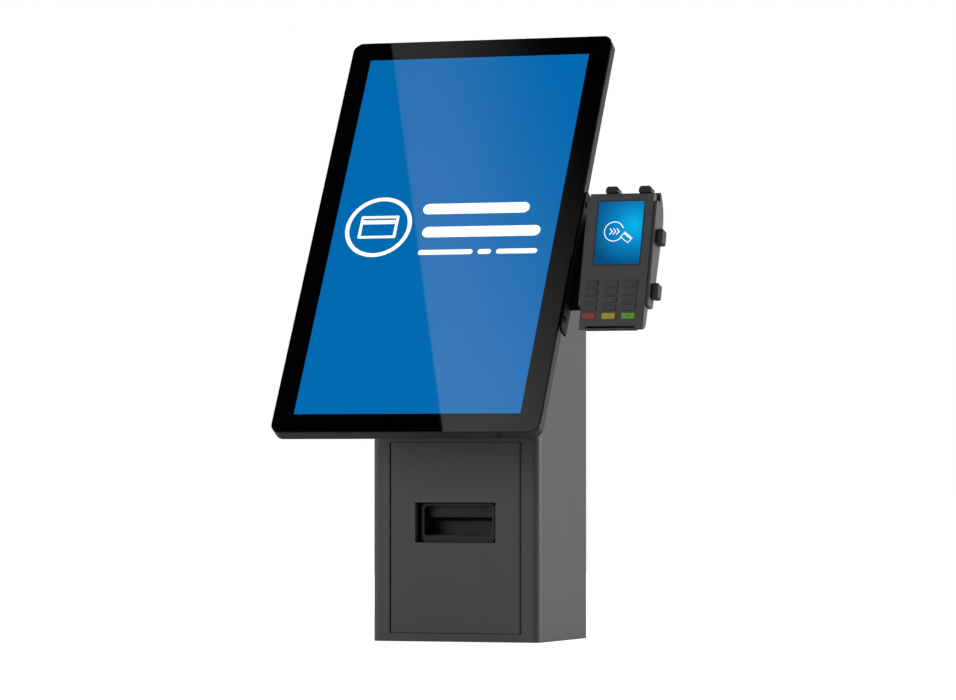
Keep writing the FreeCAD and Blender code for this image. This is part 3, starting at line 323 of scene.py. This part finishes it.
def windowLens():
    material, shader = newMaterial("polishedLens", {"Roughness": window["roughness"], "IOR": window["ior"],
                                                    "Specular IOR Level": window["shine"],
                                                    "Emission Strength": window["brightness"]})
    place = addNode(material, "ShaderNodeTexCoord").outputs["Object"]
    middle = windowFace.translation
    sideways = alongAxis(material, place, across, middle)
    upward = alongAxis(material, place, terminalUp, middle)
    half = (window["width"] * mm / 2, window["height"] * mm / 2)
    lit = insideBox(material, sideways, upward, half, window["edge"] * mm)
    glowPoint = windowFace @ Vector((window["glowX"] * mm, window["glowY"] * mm, 0))
    away = addNode(material, "ShaderNodeVectorMath", {"operation": "DISTANCE", 1: glowPoint}, {0: place})
    swirl = addNode(material, "ShaderNodeTexNoise", {"Scale": lumps(window["swirl"]), "Detail": 1.0},
                    {"Vector": place})
    push = window["push"] * mm
    pushed = addNode(material, "ShaderNodeMath", {"operation": "MULTIPLY_ADD", 1: push, 2: -push / 2},
                     {0: swirl.outputs["Fac"]})
    bent = addNode(material, "ShaderNodeMath", {"operation": "ADD"},
                   {0: away.outputs["Value"], 1: pushed.outputs[0]})
    scaled = addNode(material, "ShaderNodeMath", {"operation": "DIVIDE", 1: window["reach"] * mm},
                     {0: bent.outputs[0]})
    ramp = addNode(material, "ShaderNodeValToRGB", None, {"Fac": scaled.outputs[0]})
    ramp.color_ramp.elements[0].color = fromHex(window["bright"])
    ramp.color_ramp.elements[1].color = fromHex(window["dark"])
    ramp.color_ramp.elements.new(window["middleAt"]).color = fromHex(window["middle"])
    glow = addNode(material, "ShaderNodeMix", {"data_type": "RGBA", 6: (0, 0, 0, 1)},
                   {0: lit, 7: ramp.outputs[0]})
    ink = addNode(material, "ShaderNodeTexNoise", {"Scale": lumps(window["ink"])}, {"Vector": place})
    border = addNode(material, "ShaderNodeMix",
                     {"data_type": "RGBA", 6: fromHex(window["borderDark"]), 7: fromHex(window["border"])},
                     {0: ink.outputs["Fac"]})
    backed = addNode(material, "ShaderNodeMix", {"data_type": "RGBA", 7: (0, 0, 0, 1)},
                     {0: lit, 6: border.outputs[2]})
    wire(material, shader, {"Base Color": backed.outputs[2], "Emission Color": glow.outputs[2]})
    return material


# Lit white marks on a screen: backlight through open liquid-crystal cells, with the cover's polish over them.
# A cell is really 0.25 mm, and the drift of their tone is drawn at 1.2 mm so that it shows.
openCell = {"drift": 1.2, "dark": "#E9EEF4", "light": "#FFFFFF", "roughness": 0.05, "ior": 1.5,
            "brightness": 0.8}


def litCells(name):
    material, shader = newMaterial(name, {"Roughness": openCell["roughness"], "IOR": openCell["ior"],
                                          "Emission Strength": openCell["brightness"]})
    place = addNode(material, "ShaderNodeTexCoord").outputs["Object"]
    drift = addNode(material, "ShaderNodeTexNoise", {"Scale": lumps(openCell["drift"])}, {"Vector": place})
    tone = addNode(material, "ShaderNodeMix",
                   {"data_type": "RGBA", 6: fromHex(openCell["dark"]), 7: fromHex(openCell["light"])},
                   {0: drift.outputs["Fac"]})
    wire(material, shader, {"Emission Color": tone.outputs[2], "Base Color": tone.outputs[2]})
    return material


# Pad-printed legends: flat grey ink on the grey keys, and a muted brown that stays faint on the coloured ones.
# The ink's own tooth is finer than its 0.3 mm here.
legendInk = coated("padPrintedInk", {"ior": 1.5, "grain": 0.3, "drift": 2, "dark": "#58585A", "light": "#606061",
                                     "roughness": 0.6, "relief": 0.005, "strength": 0.3})
legendDark = coated("padPrintedInkDark", {"ior": 1.5, "grain": 0.3, "drift": 2, "dark": "#4E4338",
                                          "light": "#564A3E", "roughness": 0.6, "relief": 0.005, "strength": 0.3})

coverGlass = screenGlass()
lensGlass = windowLens()
screenWhite = litCells("backlitLiquidCrystal")

print("2 finishes on the CAD nodes")

keyNodes = sorted(name for name in nodes if name.startswith("key_"))
colourKeys = {"key_cancel": "red", "key_clear": "yellow", "key_enter": "green"}
finishes = {
    "base_plate column_shell column_top_cover rear_panel door_panel": charcoalPowderCoat,
    # side_bracket and card_reader take the black coat partly as painted shade: the terminal's shadow on the
    # bracket and the shade inside the card slot
    "door_hinge_brackets door_catch printer_shelf display_standoff side_bracket": blackPowderCoatAndPaintedShade,
    "tilt_hinge_base tilt_hinge_leaf door_pivot_pins bracket_screws card_reader tear_bar": blackPowderCoatAndPaintedShade,
    "rear_panel_screws lock_barrel lock_cam printer_lid_pin bracket_lock_screw": zincPlate,
    "display_standoff_screws tilt_hinge_pin paper_spindle": zincPlate,
    "print_head": machinedAluminium,
    "printer_base printer_fascia printer_lid power_supply": printerAbs,
    "platen_roller": platenRubber,
    "paper_roll": paperRoll,
    "display_glass": coverGlass,
    "terminal_window": lensGlass,
    "lcd_panel terminal_lcd display_computer display_frame display_rear_cover power_button": displayAbs,
    "grip_tray": trayNylon,
    "right_grips top_grips": gripRubber,
    "terminal_front_housing terminal_rear_housing": terminalPlastic,
    "terminal_board": solderResist,
    " ".join(key for key in keyNodes if key not in colourKeys): keyPlastic["grey"],
}
for key, tone in colourKeys.items():
    finishes[key] = keyPlastic[tone]
for names, material in finishes.items():
    for name in names.split():
        for place in nodes[name].material_slots:
            place.material = material

print("3 marks on the screens and keys")


def flatPiece(name, face, outlines, look):
    # thin marks cut from outlines in millimetres on a face, standing just proud of it
    mesh = bpy.data.meshes.new(name)
    build = bmesh.new()
    for outline in outlines:
        corners = [build.verts.new((x * mm, y * mm, look["lift"] * mm)) for x, y in outline]
        build.faces.new(corners)
    grown = bmesh.ops.extrude_face_region(build, geom=build.faces[:])
    raised = [item for item in grown["geom"] if isinstance(item, bmesh.types.BMVert)]
    bmesh.ops.translate(build, vec=(0, 0, look["thick"] * mm), verts=raised)
    bmesh.ops.recalc_face_normals(build, faces=build.faces[:])
    bmesh.ops.triangulate(build, faces=build.faces[:])
    build.transform(face)
    build.to_mesh(mesh)
    build.free()
    mesh.materials.append(look["material"])
    piece = bpy.data.objects.new(name, mesh)
    bpy.context.scene.collection.objects.link(piece)
    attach(piece, look["body"])


cornerSteps = 8
bandSteps = 24


def arc(centre, radius, start, end, steps=bandSteps):
    turns = [math.radians(start + (end - start) * step / steps) for step in range(steps + 1)]
    return [(centre[0] + radius * math.cos(turn), centre[1] + radius * math.sin(turn)) for turn in turns]


def ringBand(centre, outer, inner, start=0, end=360):
    # a ring or part of one, as bands of at most half a turn
    bands = []
    pieces = max(1, math.ceil((end - start) / 180))
    for part in range(pieces):
        first = start + (end - start) * part / pieces
        last = start + (end - start) * (part + 1) / pieces
        bands.append(arc(centre, outer, first, last) + arc(centre, inner, last, first))
    return bands


def bar(left, right, middle, height, radius=None):
    radius = height / 2 if radius is None else radius
    low = middle - height / 2 + radius
    high = middle + height / 2 - radius
    return (arc((right - radius, low), radius, -90, 0, cornerSteps)
            + arc((right - radius, high), radius, 0, 90, cornerSteps)
            + arc((left + radius, high), radius, 90, 180, cornerSteps)
            + arc((left + radius, low), radius, 180, 270, cornerSteps))


def turned(outline, centre, angle):
    cosine = math.cos(math.radians(angle))
    sine = math.sin(math.radians(angle))
    return [(centre[0] + x * cosine - y * sine, centre[1] + x * sine + y * cosine) for x, y in outline]


def cardStrokes(card):
    # a payment card drawn as four strokes and a stripe, about its own middle
    halfWidth = card["width"] / 2
    halfHeight = card["height"] / 2
    line = card["line"]
    return [
        bar(-halfWidth, halfWidth, halfHeight - line / 2, line, line / 2),
        bar(-halfWidth, halfWidth, -halfHeight + line / 2, line, line / 2),
        bar(-halfWidth, -halfWidth + line, 0, card["height"] - line, line / 2),
        bar(halfWidth - line, halfWidth, 0, card["height"] - line, line / 2),
        bar(-halfWidth + line, halfWidth - line, halfHeight - card["stripeDrop"] - line, card["stripe"], line / 4),
    ]


# The idle picture: a plain card in a ring, with three bars where words would be.
idlePicture = {
    "ringX": -80.0, "ringY": 7.0, "ringOuter": 40.0, "ringLine": 5.0,
    "card": {"width": 46.0, "height": 30.0, "line": 3.4, "stripe": 5.44, "stripeDrop": 5.0},
    "bars": [(-30.0, 98.0, 30.0, 14.0), (-25.5, 116.0, -1.0, 14.0), (-25.5, 40.0, -28.0, 6.5),
             (46.0, 62.0, -28.0, 6.5), (68.0, 117.0, -28.0, 6.5)],    # left, right, middle, height
    "look": {"lift": 0.04, "thick": 0.02, "material": screenWhite, "body": "kiosk", "slot": "panel_module"},
}


def drawIdlePicture():
    centre = (idlePicture["ringX"], idlePicture["ringY"])
    outer = idlePicture["ringOuter"]
    marks = ringBand(centre, outer, outer - idlePicture["ringLine"])
    for stroke in cardStrokes(idlePicture["card"]):
        marks.append(turned(stroke, centre, 0))
    flatPiece("screen_pictogram", displayFace, marks, idlePicture["look"])
    bars = [bar(*line) for line in idlePicture["bars"]]
    flatPiece("screen_text_bars", displayFace, bars, idlePicture["look"])


# The terminal's prompt: an open ring with three chevrons in it and a card beside it.
prompt = {
    "ringX": -6.0, "ringY": 1.6, "ringOuter": 11.6, "ringLine": 0.95, "ringStart": 20, "ringEnd": 320,
    "tips": (-2.1, 1.9, 5.9), "lean": 52, "legStart": -0.4, "legEnd": 4.6, "legLine": 1.0,
    "cardX": 9.0, "cardY": -5.5, "cardTurn": -38.0,
    "card": {"width": 12.0, "height": 8.0, "line": 0.8, "stripe": 1.28, "stripeDrop": 1.2},
    "look": {"lift": 0.03, "thick": 0.02, "material": screenWhite, "body": "terminal", "slot": "panel_module"},
}


def drawPrompt():
    centre = (prompt["ringX"], prompt["ringY"])
    outer = prompt["ringOuter"]
    marks = ringBand(centre, outer, outer - prompt["ringLine"], prompt["ringStart"], prompt["ringEnd"])
    for offset in prompt["tips"]:
        tip = (centre[0] + offset, centre[1])
        for side in (1, -1):
            leg = bar(prompt["legStart"], prompt["legEnd"], 0, prompt["legLine"])
            marks.append(turned(leg, tip, 180 - side * prompt["lean"]))
    for stroke in cardStrokes(prompt["card"]):
        marks.append(turned(stroke, (prompt["cardX"], prompt["cardY"]), prompt["cardTurn"]))
    flatPiece("terminal_prompt", windowFace, marks, prompt["look"])


# Legends: plain figures, and the usual cross, arrow and ring on the coloured keys.
legend = {"size": 3.8, "lift": 0.02, "thick": 0.03, "smoothness": 4,
          "texts": {"key_left": "<", "key_right": ">", "key_cancel": "X", "key_clear": "<", "key_enter": "O"}}


def drawLegend(node):
    words = legend["texts"].get(node, node[-1])
    font = bpy.data.curves.new(node + "_legend", "FONT")
    font.body = words
    font.size = legend["size"] * mm
    font.align_x = "CENTER"
    font.align_y = "CENTER"
    font.resolution_u = legend["smoothness"]
    font.extrude = legend["thick"] * mm / 2
    source = bpy.data.objects.new(node + "_legend_source", font)
    bpy.context.scene.collection.objects.link(source)
    mesh = bpy.data.meshes.new_from_object(source)
    bpy.data.objects.remove(source)
    face = faceFrame(node, terminalIn, terminalUp)
    mesh.transform(face @ Matrix.Translation((0, 0, (legend["lift"] + legend["thick"] / 2) * mm)))
    mesh.materials.clear()
    mesh.materials.append(legendDark if node in colourKeys else legendInk)
    piece = bpy.data.objects.new(node + "_legend", mesh)
    bpy.context.scene.collection.objects.link(piece)
    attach(piece, node)


drawIdlePicture()
drawPrompt()
for key in keyNodes:
    drawLegend(key)

print("4 floor, lights and camera")

# The floor is plain and pale, and shows white to the camera so that it meets the backdrop with no line.
floorLook = {"size": 60.0, "below": 0.2, "dark": "#E4E4E4", "light": "#E8E8E8", "drift": 400.0,
             "roughness": 0.95, "glow": 0.9}


def makeFloor():
    height = cadBox[0].z - floorLook["below"] * mm
    bpy.ops.mesh.primitive_plane_add(size=floorLook["size"], location=(0, 0, height))
    floor = bpy.context.object
    floor.name = "studioFloor"
    material, shader = newMaterial("studioPaper", {"Roughness": floorLook["roughness"],
                                                   "Emission Color": (1, 1, 1, 1)})
    place = addNode(material, "ShaderNodeTexCoord").outputs["Object"]
    drift = addNode(material, "ShaderNodeTexNoise", {"Scale": lumps(floorLook["drift"])}, {"Vector": place})
    tone = addNode(material, "ShaderNodeMix",
                   {"data_type": "RGBA", 6: fromHex(floorLook["dark"]), 7: fromHex(floorLook["light"])},
                   {0: drift.outputs["Fac"]})
    path = addNode(material, "ShaderNodeLightPath")
    glow = addNode(material, "ShaderNodeMath", {"operation": "MULTIPLY", 1: floorLook["glow"]},
                   {0: path.outputs["Is Camera Ray"]})
    wire(material, shader, {"Base Color": tone.outputs[2], "Emission Strength": glow.outputs[0]})
    floor.data.materials.append(material)


# Angles are in degrees, the lens and sensor in millimetres and the rest in metres.
camera = {"azimuth": 20.01, "elevation": -1.43, "right": 0.02594, "up": 0.3308, "away": 5.4394,
          "lens": 180.75, "sensor": 36, "columnFront": -0.0825, "clip": 100}


def makeCamera():
    turn = math.radians(camera["azimuth"])
    lift = math.radians(camera["elevation"])
    back = Vector((math.sin(turn) * math.cos(lift), -math.cos(turn) * math.cos(lift), math.sin(lift)))
    right = Vector((math.cos(turn), math.sin(turn), 0))
    up = back.cross(right)
    data = bpy.data.cameras.new("camera")
    data.lens = camera["lens"]
    data.sensor_width = camera["sensor"]
    data.clip_end = camera["clip"]
    shot = bpy.data.objects.new("camera", data)
    bpy.context.scene.collection.objects.link(shot)
    matrix = Matrix((right, up, back)).transposed().to_4x4()
    matrix.translation = right * camera["right"] + up * camera["up"] + back * camera["away"]
    matrix.translation.y += camera["columnFront"]
    shot.matrix_world = matrix
    bpy.context.scene.camera = shot
    return shot


# Soft lights: where each stands, what it faces, its size in metres and its power.
lights = {
    "rightSoftbox": {"place": (3.0, 1.7, 0.9), "faces": (0.1, 0, 0.35), "size": (2.0, 2.2), "watts": 110.0},
    "frontFill": {"place": (-1.7, -4.2, 1.0), "faces": (0, 0, 0.35), "size": (2.4, 2.0), "watts": 42.0},
    "leftFill": {"place": (-3.0, -0.8, 1.0), "faces": (0, 0, 0.4), "size": (2.0, 2.0), "watts": 28.0},
    "backFill": {"place": (-0.8, 3.2, 1.4), "faces": (0, 0, 0.4), "size": (2.4, 2.0), "watts": 45.0},
}


def makeLight(name, look):
    data = bpy.data.lights.new(name, "AREA")
    data.shape = "RECTANGLE"
    data.size, data.size_y = look["size"]
    data.energy = look["watts"]
    light = bpy.data.objects.new(name, data)
    bpy.context.scene.collection.objects.link(light)
    light.location = look["place"]
    aim = Vector(look["faces"]) - Vector(look["place"])
    light.rotation_euler = aim.to_track_quat("-Z", "Y").to_euler()


# The camera sees a white backdrop, and everything else is lit by a much dimmer room.
room = {"ambient": 0.16}


def makeWorld():
    world = bpy.data.worlds.new("studio")
    bpy.context.scene.world = world
    world.use_nodes = True
    tree = world.node_tree
    backdrop = tree.nodes["Background"]
    backdrop.inputs["Color"].default_value = (1, 1, 1, 1)
    dimRoom = tree.nodes.new("ShaderNodeBackground")
    dimRoom.inputs["Color"].default_value = (1, 1, 1, 1)
    dimRoom.inputs["Strength"].default_value = room["ambient"]
    path = tree.nodes.new("ShaderNodeLightPath")
    mix = tree.nodes.new("ShaderNodeMixShader")
    tree.links.new(path.outputs["Is Camera Ray"], mix.inputs[0])
    tree.links.new(dimRoom.outputs[0], mix.inputs[1])
    tree.links.new(backdrop.outputs[0], mix.inputs[2])
    tree.links.new(mix.outputs[0], tree.nodes["World Output"].inputs["Surface"])


# What the cover glass mirrors: a dark flag, and in front of it a bright card whose edge crosses the glass.
mirrored = {"distance": 1.6, "topX": -113.4, "bottomX": 47.9, "topFade": 215.0, "bottomFade": 340.0,
            "spare": 90.0, "strength": 1.15, "topDim": 0.62, "solidPart": 0.12, "flagHalf": 300.0,
            "flagBehind": 0.1}


def mirroredPoint(shot, x, y, distance):
    point = displayFace @ Vector((x * mm, y * mm, 0))
    sight = (point - shot.matrix_world.translation).normalized()
    return point + sight.reflect(-displayIn) * distance


def glossyOnly(name, corners, material):
    mesh = bpy.data.meshes.new(name)
    mesh.from_pydata(corners, [], [(0, 1, 2, 3)])
    uv = mesh.uv_layers.new(name="across")
    for loop, place in zip(uv.data, ((0, 0), (1, 0), (1, 1), (0, 1))):
        loop.uv = place
    mesh.materials.append(material)
    sheet = bpy.data.objects.new(name, mesh)
    bpy.context.scene.collection.objects.link(sheet)
    for sight in ("visible_camera", "visible_diffuse", "visible_shadow", "visible_transmission"):
        setattr(sheet, sight, False)


def makeMirrored(shot):
    half = displayHeight / 2
    spare = mirrored["spare"]
    slope = (mirrored["topX"] - mirrored["bottomX"]) / displayHeight
    low = mirrored["bottomX"] - slope * spare
    high = mirrored["topX"] + slope * spare
    spots = [(low, -half - spare), (low + mirrored["bottomFade"], -half - spare),
             (high + mirrored["topFade"], half + spare), (high, half + spare)]
    card, shader = newMaterial("brightCard", {"Base Color": (0, 0, 0, 1), "Specular IOR Level": 0.0,
                                              "Emission Strength": mirrored["strength"]})
    uv = addNode(card, "ShaderNodeTexCoord")
    split = addNode(card, "ShaderNodeSeparateXYZ", None, {0: uv.outputs["UV"]})
    ramp = addNode(card, "ShaderNodeValToRGB", None, {"Fac": split.outputs[0]})
    ramp.color_ramp.interpolation = "EASE"
    ramp.color_ramp.elements[0].color = (1, 1, 1, 1)
    ramp.color_ramp.elements[0].position = mirrored["solidPart"]
    ramp.color_ramp.elements[1].color = (0, 0, 0, 1)
    dimming = addNode(card, "ShaderNodeMapRange", {"To Min": 1.0, "To Max": 1 - mirrored["topDim"]},
                      {"Value": split.outputs[1]})
    shaded = addNode(card, "ShaderNodeMix", {"data_type": "RGBA", "blend_type": "MULTIPLY", 0: 1.0},
                     {6: ramp.outputs[0], 7: dimming.outputs[0]})
    wire(card, shader, {"Emission Color": shaded.outputs[2]})
    reach = mirrored["distance"]
    glossyOnly("brightCard", [mirroredPoint(shot, x, y, reach) for x, y in spots], card)
    flag = newMaterial("blackFlag", {"Base Color": (0, 0, 0, 1), "Specular IOR Level": 0.0, "Roughness": 1.0})[0]
    width = mirrored["flagHalf"]
    height = half + 2 * spare
    corners = [(-width, -height), (width, -height), (width, height), (-width, height)]
    glossyOnly("blackFlag", [mirroredPoint(shot, x, y, reach + mirrored["flagBehind"]) for x, y in corners], flag)


displaySpan = spanAlong("display_glass", displayUp)
displayHeight = (displaySpan[1] - displaySpan[0]) / mm
makeFloor()
shot = makeCamera()
makeWorld()
for name, look in lights.items():
    makeLight(name, look)
makeMirrored(shot)
bpy.context.scene.view_settings.view_transform = "Standard"

print("done")
